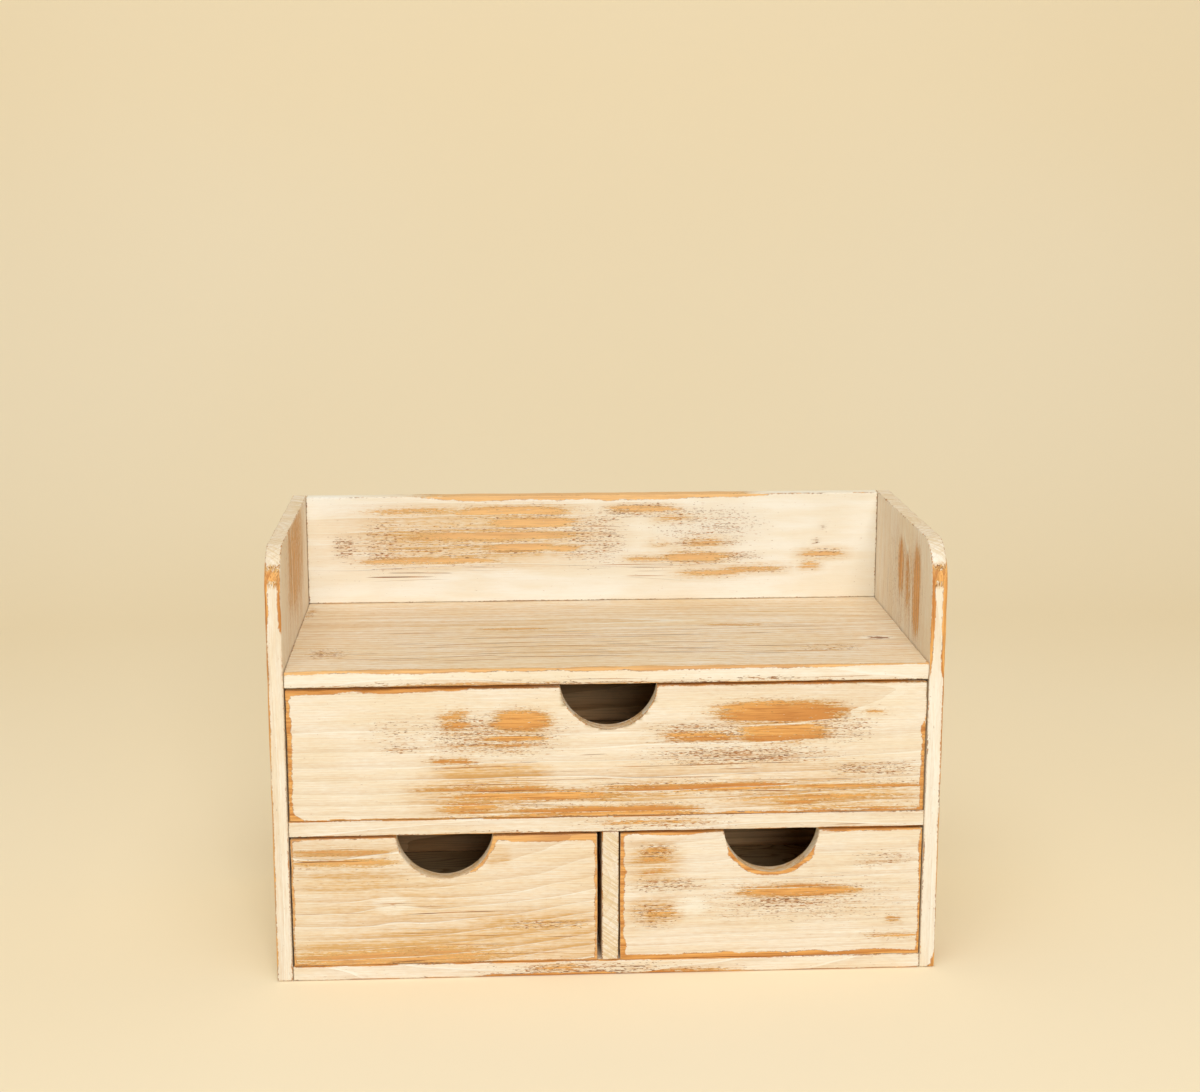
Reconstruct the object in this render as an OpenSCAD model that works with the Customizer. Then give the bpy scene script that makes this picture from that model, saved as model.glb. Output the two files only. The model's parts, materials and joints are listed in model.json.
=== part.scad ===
// Desktop mini drawers: a small whitewashed wooden case with an open tray on
// top, one wide drawer, and two small drawers side by side under it. Every
// drawer slides straight out on the board below it, and is pulled by a
// half-round finger notch in its front.
//
// Millimetres. +Z is up, the front faces -Y, and the origin is the centre of
// the footprint, on the surface that the case stands on.

/* [Case] */
// Width of the case, over both side panels
case_w = 350; // [300:1:420]
// Depth of the case, front edge to rear face
case_d = 159; // [130:1:220]
// Thickness of each side panel
side_t = 8.2; // [6:0.1:12]
// Thickness of the top shelf and of the middle shelf
shelf_t = 8.8; // [6:0.1:12]
// Thickness of the base board
base_t = 8.2; // [6:0.1:12]
// Thickness of the plywood rear panel
rear_t = 3; // [2:0.1:5]
// Thickness of the rail at the back of the tray
rail_t = 8.6; // [6:0.1:12]
// Height of the back rail above the top shelf
rail_h = 63.2; // [45:0.1:90]
// Radius of the rounded front corner at the top of each side panel
corner_r = 22; // [8:0.5:30]

/* [Bays] */
// Clear height of the wide drawer's bay
wide_bay_h = 71.4; // [55:0.1:100]
// Clear height of the two small drawers' bays
small_bay_h = 71.6; // [55:0.1:100]
// Thickness of the upright divider between the small drawers
divider_t = 8.9; // [6:0.1:12]
// How far the divider stands to the right of the middle
divider_offset = 0.8; // [0:0.1:8]

/* [Drawers] */
// Thickness of a drawer's front board
front_t = 8.8; // [7:0.1:12]
// Thickness left in front of the rabbets that take the side boards
front_lip_t = 3.8; // [3:0.1:4.5]
// Thickness of a drawer's side boards
drawer_side_t = 8; // [6.5:0.1:10]
// Thickness of a drawer's back board
drawer_back_t = 8; // [6.5:0.1:10]
// Thickness of a drawer's plywood bottom
bottom_t = 3; // [2:0.1:4]
// How deep the bottom's grooves are
groove_depth = 3; // [2:0.1:4]
// Height of the grooves above a drawer's lower edge
groove_up = 4; // [3:0.1:8]
// How much lower than the front the sides and back are
sides_drop = 2; // [0:0.1:6]

/* [Finger notches] */
// Radius of the cutter that makes a finger notch
notch_r = 25.2; // [18:0.1:30]
// How far the cutter's centre lies above the drawer's top edge
notch_rise = 2.2; // [0:0.1:6]

/* [Fits] */
// Gap on each side of a drawer in its bay
side_gap = 0.7; // [0.4:0.1:2]
// Gap over a drawer in its bay
top_gap = 1; // [0.5:0.1:3]
// Play of a drawer's bottom in its grooves
panel_play = 0.2; // [0.1:0.1:0.6]

/* [Nails] */
// Diameter of a nail's shank
nail_d = 1.2; // [1:0.1:1.6]
// Diameter of a nail's head
nail_head_d = 2; // [1.8:0.1:2.6]
// Thickness of a nail's head
nail_head_t = 0.6; // [0.4:0.1:1]
// Length of a nail
nail_l = 20; // [16:1:24]
// Length of a tack in the rear panel
tack_l = 12; // [8:1:16]
// How far the heads are punched below the surface
nail_set = 0.3; // [0.2:0.1:0.6]
// Distance from the end of a board to its first nail
nail_margin = 18; // [12:1:20]
// Distance from the end of a board to the first tack
tack_margin = 36; // [20:1:60]
// Distance of a drawer's nails from the groove below them and from the top
drawer_nail_margin = 8; // [5:0.5:14]
// Nails along each end of a shelf
shelf_nail_count = 3; // [2:1:4]
// Tacks along each board that carries the rear panel
tack_count = 4; // [3:1:6]

/* [Hidden] */
$fn = 96;
nail_fn = 24;         // sides of a nail
nail_tip = 1.5;       // length of a nail's point
cut = 1;              // how far a cutter runs past the face that it opens

whitewash = "antiquewhite";
bare_wood = "burlywood";
plywood = "tan";
steel = "silver";

// Heights of the boards, from the base up
middle_z = base_t + small_bay_h;
wide_bay_z = middle_z + shelf_t;
top_z = wide_bay_z + wide_bay_h;
tray_z = top_z + shelf_t;
case_h = tray_z + rail_h;
board_mids = [base_t / 2, middle_z + shelf_t / 2, top_z + shelf_t / 2];

// The inside of the case. The shelves end at the rear panel.
inner_w = case_w - 2 * side_t;
shelf_d = case_d - rear_t;
divider_x = divider_offset - divider_t / 2;
left_bay_w = divider_x + inner_w / 2;
right_bay_w = inner_w - left_bay_w - divider_t;

// Drawers. A closed drawer meets the rear panel, so its front lies flush with
// the shelves. Both small drawers are cut to the narrower bay.
drawer_d = shelf_d;
wide_w = inner_w - 2 * side_gap;
small_w = min(left_bay_w, right_bay_w) - 2 * side_gap;
wide_h = wide_bay_h - top_gap;
small_h = small_bay_h - top_gap;
groove_top = groove_up + bottom_t + panel_play;

// N places along a length, the first and the last a margin from its ends
function spread(length, n, margin) =
    [for (i = [0 : n - 1]) margin + i * (length - 2 * margin) / (n - 1)];

// The two heights of the nails at a corner of a drawer of height h
function drawer_nail_rows(h) =
    [groove_top + drawer_nail_margin, h - sides_drop - drawer_nail_margin];

// ---- shared shapes ----

// A box by its lower front left corner and its size
module board(corner, size) { translate(corner) cube(size); }

// Turn a shape that points along -Z, to point along +X, -X, +Y, -Y or +Z
module to_plus_x() { rotate([0, -90, 0]) children(); }
module to_minus_x() { rotate([0, 90, 0]) children(); }
module to_plus_y() { rotate([90, 0, 0]) children(); }
module to_minus_y() { rotate([-90, 0, 0]) children(); }
module to_plus_z() { rotate([180, 0, 0]) children(); }

// A nail's outline turned about Z, driven down into the surface Z = 0. Its
// head ends at head_top, measured from the level that it is punched to.
module nail_shape(length, head_top) {
    translate([0, 0, -nail_set])
        rotate_extrude($fn = nail_fn)
            polygon([
                [0, -length], [nail_d / 2, nail_tip - length], [nail_d / 2, -nail_head_t],
                [nail_head_d / 2, -nail_head_t], [nail_head_d / 2, head_top], [0, head_top]
            ]);
}

module nail(length) { nail_shape(length, 0); }
module nail_hole(length) { nail_shape(length, nail_set + cut); }

// ---- where the nails go: each module puts its child there ----

// Through the left side panel into the boards and into the rail
module at_left_panel_nails() {
    for (z = board_mids, y = spread(shelf_d, shelf_nail_count, nail_margin))
        translate([-case_w / 2, y - case_d / 2, z]) to_plus_x() children();
    for (z = spread(rail_h, 2, nail_margin))
        translate([-case_w / 2, (case_d - rail_t) / 2, tray_z + z]) to_plus_x() children();
}

// The same in the right side panel
module at_right_panel_nails() { mirror([1, 0, 0]) at_left_panel_nails() children(); }

// Down through the middle shelf and up through the base, into the divider
module at_divider_nails() {
    for (y = spread(shelf_d, 2, nail_margin))
        translate([divider_offset, y - case_d / 2, 0]) {
            translate([0, 0, wide_bay_z]) children();
            to_plus_z() children();
        }
}

// Through the rear panel into the rear edges of the three boards
module at_tacks() {
    for (z = board_mids, x = spread(inner_w, tack_count, tack_margin))
        translate([x - inner_w / 2, case_d / 2, z]) to_minus_y() children();
}

// Through a drawer's sides, into the front's rabbets and into the back
module at_drawer_nails(w, h) {
    for (y = [(front_lip_t + front_t) / 2, drawer_d - drawer_back_t / 2], z = drawer_nail_rows(h)) {
        translate([0, y, z]) to_plus_x() children();
        translate([w, y, z]) to_minus_x() children();
    }
}

// ---- the case ----

// Side panel on the left, cut to a quarter circle at its front top corner
module side_panel() {
    difference() {
        translate([-case_w / 2, -case_d / 2, 0]) rotate([90, 0, 90])
            linear_extrude(side_t) {
                square([case_d, case_h - corner_r]);
                translate([corner_r, 0]) square([case_d - corner_r, case_h]);
                translate([corner_r, case_h - corner_r]) circle(corner_r);
            }
        at_left_panel_nails() nail_hole(nail_l);
    }
}

module left_side_panel() { color(whitewash) side_panel(); }
module right_side_panel() { color(whitewash) mirror([1, 0, 0]) side_panel(); }

// A board across the case, between the side panels and before the rear panel
module shelf(z, t) {
    difference() {
        board([-inner_w / 2, -case_d / 2, z], [inner_w, shelf_d, t]);
        at_left_panel_nails() nail_hole(nail_l);
        at_right_panel_nails() nail_hole(nail_l);
        at_divider_nails() nail_hole(nail_l);
        at_tacks() nail_hole(tack_l);
    }
}

module top_shelf() { color(whitewash) shelf(top_z, shelf_t); }
module middle_shelf() { color(whitewash) shelf(middle_z, shelf_t); }
module base_board() { color(whitewash) shelf(0, base_t); }

module divider() {
    color(whitewash) difference() {
        board([divider_x, -case_d / 2, base_t], [divider_t, shelf_d, small_bay_h]);
        at_divider_nails() nail_hole(nail_l);
    }
}

// Stands on the top shelf and on the rear panel, and closes the tray
module back_rail() {
    color(whitewash) difference() {
        board([-inner_w / 2, case_d / 2 - rail_t, tray_z], [inner_w, rail_t, rail_h]);
        at_left_panel_nails() nail_hole(nail_l);
        at_right_panel_nails() nail_hole(nail_l);
    }
}

// Closes the drawers' bays, and is what stops the drawers
module rear_panel() {
    color(plywood) difference() {
        board([-inner_w / 2, case_d / 2 - rear_t, 0], [inner_w, rear_t, tray_z]);
        at_tacks() nail_hole(tack_l);
    }
}

module left_panel_nails() { color(steel) at_left_panel_nails() nail(nail_l); }
module right_panel_nails() { color(steel) at_right_panel_nails() nail(nail_l); }
module divider_nails() { color(steel) at_divider_nails() nail(nail_l); }
module rear_panel_tacks() { color(steel) at_tacks() nail(tack_l); }

// ---- a drawer of width w and height h, from its lower front left corner ----

// The grooves for the bottom in the front and the back, which stop short of
// the side boards' outer faces
module end_grooves(w) {
    reach_x = drawer_side_t - groove_depth;
    reach_y = front_t - groove_depth;
    board([reach_x, reach_y, groove_up],
        [w - 2 * reach_x, drawer_d - reach_y - drawer_back_t + groove_depth, groove_top - groove_up]);
}

// The grooves in the side boards, sawn from end to end
module side_grooves(w) {
    reach_x = drawer_side_t - groove_depth;
    board([reach_x, -cut, groove_up],
        [w - 2 * reach_x, drawer_d + 2 * cut, groove_top - groove_up]);
}

module finger_notch(w, h) {
    translate([w / 2, -cut, h + notch_rise]) rotate([-90, 0, 0])
        cylinder(r = notch_r, h = front_t + 2 * cut);
}

module drawer_front(w, h) {
    difference() {
        cube([w, front_t, h]);
        for (x = [-cut, w - drawer_side_t])
            board([x, front_lip_t, -cut], [drawer_side_t + cut, front_t, h + 2 * cut]);
        end_grooves(w);
        finger_notch(w, h);
        at_drawer_nails(w, h) nail_hole(nail_l);
    }
}

// Side board whose left face is at x
module drawer_side(w, h, x) {
    difference() {
        board([x, front_lip_t, 0], [drawer_side_t, drawer_d - front_lip_t, h - sides_drop]);
        side_grooves(w);
        at_drawer_nails(w, h) nail_hole(nail_l);
    }
}

module drawer_left_side(w, h) { drawer_side(w, h, 0); }
module drawer_right_side(w, h) { drawer_side(w, h, w - drawer_side_t); }

module drawer_back(w, h) {
    difference() {
        board([drawer_side_t, drawer_d - drawer_back_t, 0],
            [w - 2 * drawer_side_t, drawer_back_t, h - sides_drop]);
        end_grooves(w);
        at_drawer_nails(w, h) nail_hole(nail_l);
    }
}

// Lies in its grooves with some play all round
module drawer_bottom(w) {
    reach_x = drawer_side_t - groove_depth + panel_play;
    reach_y = front_t - groove_depth + panel_play;
    reach_back = drawer_back_t - groove_depth + panel_play;
    board([reach_x, reach_y, groove_up], [w - 2 * reach_x, drawer_d - reach_y - reach_back, bottom_t]);
}

module drawer_nails(w, h) { at_drawer_nails(w, h) nail(nail_l); }

// ---- the three drawers in their bays ----

module in_wide_bay() { translate([-wide_w / 2, -case_d / 2, wide_bay_z]) children(); }
module in_left_bay() { translate([side_gap - inner_w / 2, -case_d / 2, base_t]) children(); }
module in_right_bay() { translate([inner_w / 2 - side_gap - small_w, -case_d / 2, base_t]) children(); }

module wide_drawer_front() { color(whitewash) in_wide_bay() drawer_front(wide_w, wide_h); }
module wide_drawer_left_side() { color(bare_wood) in_wide_bay() drawer_left_side(wide_w, wide_h); }
module wide_drawer_right_side() { color(bare_wood) in_wide_bay() drawer_right_side(wide_w, wide_h); }
module wide_drawer_back() { color(bare_wood) in_wide_bay() drawer_back(wide_w, wide_h); }
module wide_drawer_bottom() { color(plywood) in_wide_bay() drawer_bottom(wide_w); }
module wide_drawer_nails() { color(steel) in_wide_bay() drawer_nails(wide_w, wide_h); }

module left_drawer_front() { color(whitewash) in_left_bay() drawer_front(small_w, small_h); }
module left_drawer_left_side() { color(bare_wood) in_left_bay() drawer_left_side(small_w, small_h); }
module left_drawer_right_side() { color(bare_wood) in_left_bay() drawer_right_side(small_w, small_h); }
module left_drawer_back() { color(bare_wood) in_left_bay() drawer_back(small_w, small_h); }
module left_drawer_bottom() { color(plywood) in_left_bay() drawer_bottom(small_w); }
module left_drawer_nails() { color(steel) in_left_bay() drawer_nails(small_w, small_h); }

module right_drawer_front() { color(whitewash) in_right_bay() drawer_front(small_w, small_h); }
module right_drawer_left_side() { color(bare_wood) in_right_bay() drawer_left_side(small_w, small_h); }
module right_drawer_right_side() { color(bare_wood) in_right_bay() drawer_right_side(small_w, small_h); }
module right_drawer_back() { color(bare_wood) in_right_bay() drawer_back(small_w, small_h); }
module right_drawer_bottom() { color(plywood) in_right_bay() drawer_bottom(small_w); }
module right_drawer_nails() { color(steel) in_right_bay() drawer_nails(small_w, small_h); }

left_side_panel();
right_side_panel();
top_shelf();
middle_shelf();
base_board();
divider();
back_rail();
rear_panel();
left_panel_nails();
right_panel_nails();
divider_nails();
rear_panel_tacks();
wide_drawer_front();
wide_drawer_left_side();
wide_drawer_right_side();
wide_drawer_back();
wide_drawer_bottom();
wide_drawer_nails();
left_drawer_front();
left_drawer_left_side();
left_drawer_right_side();
left_drawer_back();
left_drawer_bottom();
left_drawer_nails();
right_drawer_front();
right_drawer_left_side();
right_drawer_right_side();
right_drawer_back();
right_drawer_bottom();
right_drawer_nails();
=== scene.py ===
# %% [markdown]
# # Desktop mini drawers
#
# A small case of thin pine boards, nailed together, brushed with thinned white paint and then
# rubbed through in places. It has an open tray on top, one wide drawer and two small ones.
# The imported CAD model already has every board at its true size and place. This lesson turns
# its sharp, plain boards into worn ones, and gives each kind of board its real finish.

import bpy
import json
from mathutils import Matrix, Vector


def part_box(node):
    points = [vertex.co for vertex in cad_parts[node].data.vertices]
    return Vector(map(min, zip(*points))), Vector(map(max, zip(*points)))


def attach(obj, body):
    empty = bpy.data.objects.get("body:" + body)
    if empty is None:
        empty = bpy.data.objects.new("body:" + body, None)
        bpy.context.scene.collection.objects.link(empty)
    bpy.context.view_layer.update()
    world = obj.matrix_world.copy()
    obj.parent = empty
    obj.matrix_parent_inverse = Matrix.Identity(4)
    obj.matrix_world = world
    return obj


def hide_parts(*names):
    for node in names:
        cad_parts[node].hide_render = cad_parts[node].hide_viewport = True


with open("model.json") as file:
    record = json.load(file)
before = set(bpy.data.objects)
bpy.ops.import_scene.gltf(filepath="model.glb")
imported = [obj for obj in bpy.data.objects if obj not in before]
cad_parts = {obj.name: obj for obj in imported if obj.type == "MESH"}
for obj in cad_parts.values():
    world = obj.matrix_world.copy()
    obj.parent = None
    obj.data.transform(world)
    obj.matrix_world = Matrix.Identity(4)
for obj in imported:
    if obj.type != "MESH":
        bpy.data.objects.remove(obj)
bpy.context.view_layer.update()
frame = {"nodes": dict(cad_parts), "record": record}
print("boards and nails:", len(frame["nodes"]))

# %% [markdown]
# ## Tools and units
#
# Blender works in metres, while wood and wear are easier to think of in millimetres. A colour
# picked on a screen is an sRGB hex value, while a shader wants linear light.

# %% Imports, millimetres and colours
import json
import math
import random
from functools import partial
from types import SimpleNamespace

import bmesh
import bpy
from mathutils import Vector, kdtree, noise

MM = 0.001


def linear(hex_colour):
    """An sRGB colour such as "#F3E2C4" as the linear RGBA that a shader takes."""
    shares = [int(hex_colour[i : i + 2], 16) / 255 for i in (1, 3, 5)]
    return [s / 12.92 if s <= 0.04045 else ((s + 0.055) / 1.055) ** 2.4 for s in shares] + [1]


def smooth(share):
    """0 to 1 with a soft start and end, whatever the share is."""
    share = min(1.0, max(0.0, share))
    return share * share * (3 - 2 * share)


print("cream paint in linear light:", [round(value, 3) for value in linear("#F3E2C4")])

# %% [markdown]
# ## The camera
#
# The case stands below eye level and almost square to us. The lens is long enough to keep the
# boards nearly parallel. The camera looks along its own -Z, so it is tipped up from pointing at
# the floor by a quarter turn less its dip.

# %% Camera
CAMERA_PLACE = Vector((-58.8, -1072.9, 440.2)) * MM
CAMERA_DIP = math.radians(11.77)
CAMERA_TURN = math.radians(3.12)
LENS = 59.98  # mm
SENSOR = 36  # mm

camera = bpy.data.objects.new("camera", bpy.data.cameras.new("camera"))
bpy.context.scene.collection.objects.link(camera)
camera.data.sensor_width = SENSOR
camera.data.lens = LENS
camera.location = CAMERA_PLACE
camera.rotation_euler = (math.pi / 2 - CAMERA_DIP, 0, -CAMERA_TURN)
bpy.context.scene.camera = camera

# %% [markdown]
# ## One helper for shader nodes
#
# Every material below is a network of nodes. One helper makes a node, its settings and its
# links, so that a material reads as a list of what is mixed with what. A node given as an
# input means its output.

# %% Node helper
COLOUR = {"data_type": "RGBA"}  # a Mix node between two colours
SOFT = {"interpolation_type": "SMOOTHSTEP"}  # a Map Range node that starts and ends softly


def add_node(tree, kind, *values, named=None, **settings):
    """Adds a node of a kind such as "Math:ADD", and fills its inputs in order, then by name."""
    kind, _, operation = kind.partition(":")
    node = tree.nodes.new("ShaderNode" + kind)
    if operation:
        node.operation = operation
    for name, value in settings.items():
        setattr(node, name, value)
    sockets = [socket for socket in node.inputs if socket.enabled]
    wanted = list(zip(sockets, values))
    for name, value in (named or {}).items():
        wanted.append((next(s for s in sockets if s.name == name), value))
    for socket, value in wanted:
        if isinstance(value, bpy.types.Node):
            value = next(output for output in value.outputs if output.enabled)
        if isinstance(value, bpy.types.NodeSocket):
            tree.links.new(value, socket)
        else:
            socket.default_value = value
    return node


def new_material(name):
    """An empty material, and the helper that adds nodes to it."""
    material = bpy.data.materials.new(name)
    material.use_nodes = True
    material.node_tree.nodes.clear()
    return material, partial(add_node, material.node_tree)


def finished(material, add, look):
    """The material with its surface, which has this look."""
    add("OutputMaterial", add("BsdfPrincipled", named=look))
    print(material.name, "has", len(material.node_tree.nodes), "nodes")
    return material


print("a soft Map Range has", SOFT)

# %% [markdown]
# ## The room
#
# The case stands on a sheet of pale paper that curves up behind it, so that no corner shows.
# Its outline is drawn once: a straight floor, a quarter turn made by the spin operator, and a
# straight wall. Extruding that line makes the sheet.

# %% Paper backdrop
PAPER_HALF_WIDTH = 3000 * MM
PAPER_FRONT = 2500 * MM
PAPER_BEND_AT = 700 * MM
PAPER_BEND_RADIUS = 500 * MM
PAPER_HEIGHT = 2200 * MM
PAPER_WHITE = "#FBEBC9"
PAPER_PALE = "#FDF1D6"
PAPER_TOOTH = 1.1 * MM
PAPER_CLOUD = 500 * MM


def new_object(name, bm):
    """Turns a bmesh into an object that is shaded smooth."""
    mesh = bpy.data.meshes.new(name)
    bm.to_mesh(mesh)
    bm.free()
    for face in mesh.polygons:
        face.use_smooth = True
    made = bpy.data.objects.new(name, mesh)
    bpy.context.scene.collection.objects.link(made)
    return made


def paper_backdrop():
    bm = bmesh.new()
    front = bm.verts.new((-PAPER_HALF_WIDTH, -PAPER_FRONT, 0))
    bend = bm.verts.new((-PAPER_HALF_WIDTH, PAPER_BEND_AT, 0))
    bm.edges.new((front, bend))
    centre = Vector((-PAPER_HALF_WIDTH, PAPER_BEND_AT, PAPER_BEND_RADIUS))
    spun = bmesh.ops.spin(
        bm, geom=[bend], cent=centre, axis=(1, 0, 0), angle=math.pi / 2, steps=24
    )
    last = [piece for piece in spun["geom_last"] if isinstance(piece, bmesh.types.BMVert)]
    risen = bmesh.ops.extrude_vert_indiv(bm, verts=last)
    bmesh.ops.translate(bm, verts=risen["verts"], vec=(0, 0, PAPER_HEIGHT))
    drawn = bmesh.ops.extrude_edge_only(bm, edges=bm.edges[:])
    moved = [piece for piece in drawn["geom"] if isinstance(piece, bmesh.types.BMVert)]
    bmesh.ops.translate(bm, verts=moved, vec=(2 * PAPER_HALF_WIDTH, 0, 0))
    bmesh.ops.recalc_face_normals(bm, faces=bm.faces[:])
    return new_object("paper_backdrop", bm)


def backdrop_paper():
    """Matt card: an even warm white with a faint tooth."""
    material, add = new_material("backdrop_paper")
    place = add("TexCoord").outputs["Object"]
    tooth = add("TexNoise", place, 1 / PAPER_TOOTH, 2)
    tint = add("TexNoise", place, 1 / PAPER_CLOUD, 1)
    colour = add("Mix", tint, linear(PAPER_WHITE), linear(PAPER_PALE), **COLOUR)
    relief = add("Bump", named={"Height": tooth, "Strength": 0.1, "Distance": 0.2 * MM})
    look = {"Base Color": colour, "Roughness": 0.9, "IOR": 1.5, "Normal": relief}
    return finished(material, add, look)


paper = paper_backdrop()
paper.data.materials.append(backdrop_paper())
print("backdrop faces:", len(paper.data.polygons))

# %% [markdown]
# ## The light
#
# Two large soft lights and the room's own glow. The lower one stands in front, a little to the
# right, and reaches through the finger notches. The one overhead brightens the tray and the
# boards' top edges. The glow is almost half of the light, which keeps the shadows open.

# %% Lights
LIGHTS = {
    # name: place, size and power
    "front_softbox": (Vector((200, -2300, 980)) * MM, 600 * MM, 17.3),
    "overhead_softbox": (Vector((-80, -900, 1900)) * MM, 1500 * MM, 16.5),
}
LIGHT_AIM = Vector((0, 0, 110)) * MM
LAMP_TINT = (1.0, 0.985, 0.955)
GLOW = "#FFFBF2"
GLOW_STRENGTH = 0.43


def softbox(name, place, size, power):
    light = bpy.data.lights.new(name, "AREA")
    light.shape = "SQUARE"
    light.size = size
    light.energy = power
    light.color = LAMP_TINT
    lamp = bpy.data.objects.new(name, light)
    bpy.context.scene.collection.objects.link(lamp)
    lamp.location = place
    lamp.rotation_euler = (LIGHT_AIM - place).to_track_quat("-Z", "Y").to_euler()


for name, (place, size, power) in LIGHTS.items():
    softbox(name, place, size, power)

world = bpy.data.worlds.new("studio")
world.use_nodes = True
world.node_tree.nodes["Background"].inputs["Color"].default_value = linear(GLOW)
world.node_tree.nodes["Background"].inputs["Strength"].default_value = GLOW_STRENGTH
bpy.context.scene.world = world
bpy.context.scene.view_settings.view_transform = "Standard"
print("lights:", ", ".join(LIGHTS))

# %% [markdown]
# ## Which way the grain runs
#
# The grain runs along a board's longest side. So each board's own box tells its directions:
# along the grain, across it, and through the thickness. Only the nails aren't boards.

# %% Board directions
NAIL_NODES = [name for name in frame["nodes"] if name.endswith(("_nails", "_tacks"))]
BOARD_NODES = sorted(name for name in frame["nodes"] if name not in NAIL_NODES)


def directions(node):
    """The numbers of the axes along the grain, across it and through the board."""
    low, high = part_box(node)
    size = high - low
    through, across, along = sorted(range(3), key=lambda axis: size[axis])
    return along, across, through


for node in BOARD_NODES:
    print(node, "has its grain along", "xyz"[directions(node)[0]])

# %% [markdown]
# ## From a CAD board to a worn board
#
# The CAD boards have sharp edges, and faces with no points on them to move or to hold wear. A
# copy of each is merged into a clean closed mesh. Its long sharp edges are rounded with the
# bevel operator, as a sanding block would, and bisecting planes lay a grid of points over it,
# closer together near the edges. A nail hole's rim is short, so it stays crisp.

# %% Copy, round and grid a board
MERGE = 0.002 * MM
SHARP = math.radians(35)
SHORTEST_ROUNDED = 0.8 * MM
EDGE_STEPS = (1.1, 2.3, 4.0)  # mm from an end of the board to its first cuts
ALONG_STEP = 4.0  # mm between cuts along the grain
ACROSS_STEP = 1.7  # mm between cuts across it


def merged_copy(node):
    bm = bmesh.new()
    bm.from_mesh(frame["nodes"][node].data)
    bmesh.ops.remove_doubles(bm, verts=bm.verts[:], dist=MERGE)
    bmesh.ops.dissolve_limit(
        bm, angle_limit=math.radians(0.5), verts=bm.verts[:], edges=bm.edges[:]
    )
    return bm


def long_sharp_edges(bm):
    return [
        edge
        for edge in bm.edges
        if edge.is_manifold
        and edge.is_convex
        and edge.calc_face_angle() > SHARP
        and edge.calc_length() > SHORTEST_ROUNDED
    ]


def edge_tree(edges):
    """A search tree of points a millimetre apart along the board's sharp edges."""
    points = []
    for edge in edges:
        start, end = (vert.co for vert in edge.verts)
        count = max(1, round((end - start).length / MM))
        points += [start.lerp(end, i / count) for i in range(count + 1)]
    tree = kdtree.KDTree(len(points))
    for i, point in enumerate(points):
        tree.insert(point, i)
    tree.balance()
    return tree


def cut_places(low, high, step):
    """Where a board is cut between two of its sides, in metres."""
    near = [s * MM for s in EDGE_STEPS if 2.5 * s * MM < high - low]
    first, last = low + near[-1], high - near[-1]
    count = max(1, round((last - first) / (step * MM)))
    even = [first + i * (last - first) / count for i in range(count + 1)]
    return [low + s for s in near[:-1]] + even + [high - s for s in near[:-1]]


def lay_grid(bm, node):
    low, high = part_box(node)
    along, across, through = directions(node)
    for axis, step in ((along, ALONG_STEP), (across, ACROSS_STEP), (through, ACROSS_STEP)):
        normal = Vector([float(i == axis) for i in range(3)])
        for place in cut_places(low[axis], high[axis], step):
            bmesh.ops.bisect_plane(
                bm, geom=bm.verts[:] + bm.edges[:] + bm.faces[:], dist=MERGE,
                plane_co=normal * place, plane_no=normal,
            )


print("long sharp edges of the divider:", len(long_sharp_edges(merged_copy("divider"))))

# %% [markdown]
# ## Real wear is in the shape too
#
# Sanding takes more off an edge than off a face, and takes it unevenly. Each point near an edge
# moves in by up to a third of a millimetre, as far as a slow noise says, and the faces keep the
# low waves of a planer. Points move only inwards, so no board grows past its measured size.

# %% Worn edges and planed faces
WORN_REACH = 3.0  # mm from an edge over which it is rubbed down
WORN_DEPTH = 0.28  # mm, the most that is gone from an edge
WORN_LENGTH = 11.0  # mm between deep and shallow wear along an edge
PLANED_DEPTH = 0.05  # mm
PLANED_WAVE = Vector((140.0, 18.0, 18.0))  # mm along the grain, across it and through
BOARD_SHIFT = Vector((53.0, 31.0, 17.0))  # mm between the places where two boards read the noise


def wear_down(bm, edges_near, axes, number):
    bm.normal_update()
    moves = []
    for vert in bm.verts:
        distance = edges_near.find(vert.co)[2] / MM
        place = vert.co / MM + number * BOARD_SHIFT
        rubbed = smooth(1 - distance / WORN_REACH)
        rubbed *= smooth(0.5 + 0.9 * noise.noise(place / WORN_LENGTH))
        planed = [place[axis] / wave for axis, wave in zip(axes, PLANED_WAVE)]
        depth = WORN_DEPTH * rubbed + PLANED_DEPTH * (0.5 + 0.5 * noise.noise(planed))
        moves.append(vert.normal * -depth * MM)
    for vert, move in zip(bm.verts, moves):
        vert.co += move


print("an edge loses up to", round(WORN_DEPTH + PLANED_DEPTH, 2), "mm")

# %% [markdown]
# ## Where the paint is gone
#
# The wear isn't spread evenly, so it is written down as marks. A mark is a soft patch on one
# face of a board. Five kinds are enough:
# - `bare`: rubbed through to the wood, from 0 to 1, or more where its border is crisp
# - `specks`: dry brushing that left short dark dashes, from 0 to 1
# - `thin`: paint so thin that the wood shows through, from 0 to 1
# - `lines`: long dark lines where wax lies in the grain, from 0 to 1
# - `strip`: how many millimetres in from the edge the paint is rubbed off
#
# They are stored on the board's points as attributes, and the shader breaks their smooth
# outlines up along the grain.

# %% Faces and marks
FRONT, BACK, TOP, LEFT, RIGHT = "-y", "+y", "+z", "-x", "+x"
MARKS = {}  # for a board and one of its faces: the marks that were chosen


def note_marks(board, face, **kinds):
    """Notes a face's marks by kind: the middle's two numbers, two half sizes and the amount."""
    MARKS[board, face] = [(kind, *one) for kind, listed in kinds.items() for one in listed]
    print(board, face, "has", len(MARKS[board, face]), "marks")


print("marks can be noted on", FRONT, BACK, TOP, LEFT, "and", RIGHT)

# %% [markdown]
# ### The wide drawer
#
# It is rubbed through in patches on both sides of the notch and in long bands along the
# bottom, and brushed almost dry between them.

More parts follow.
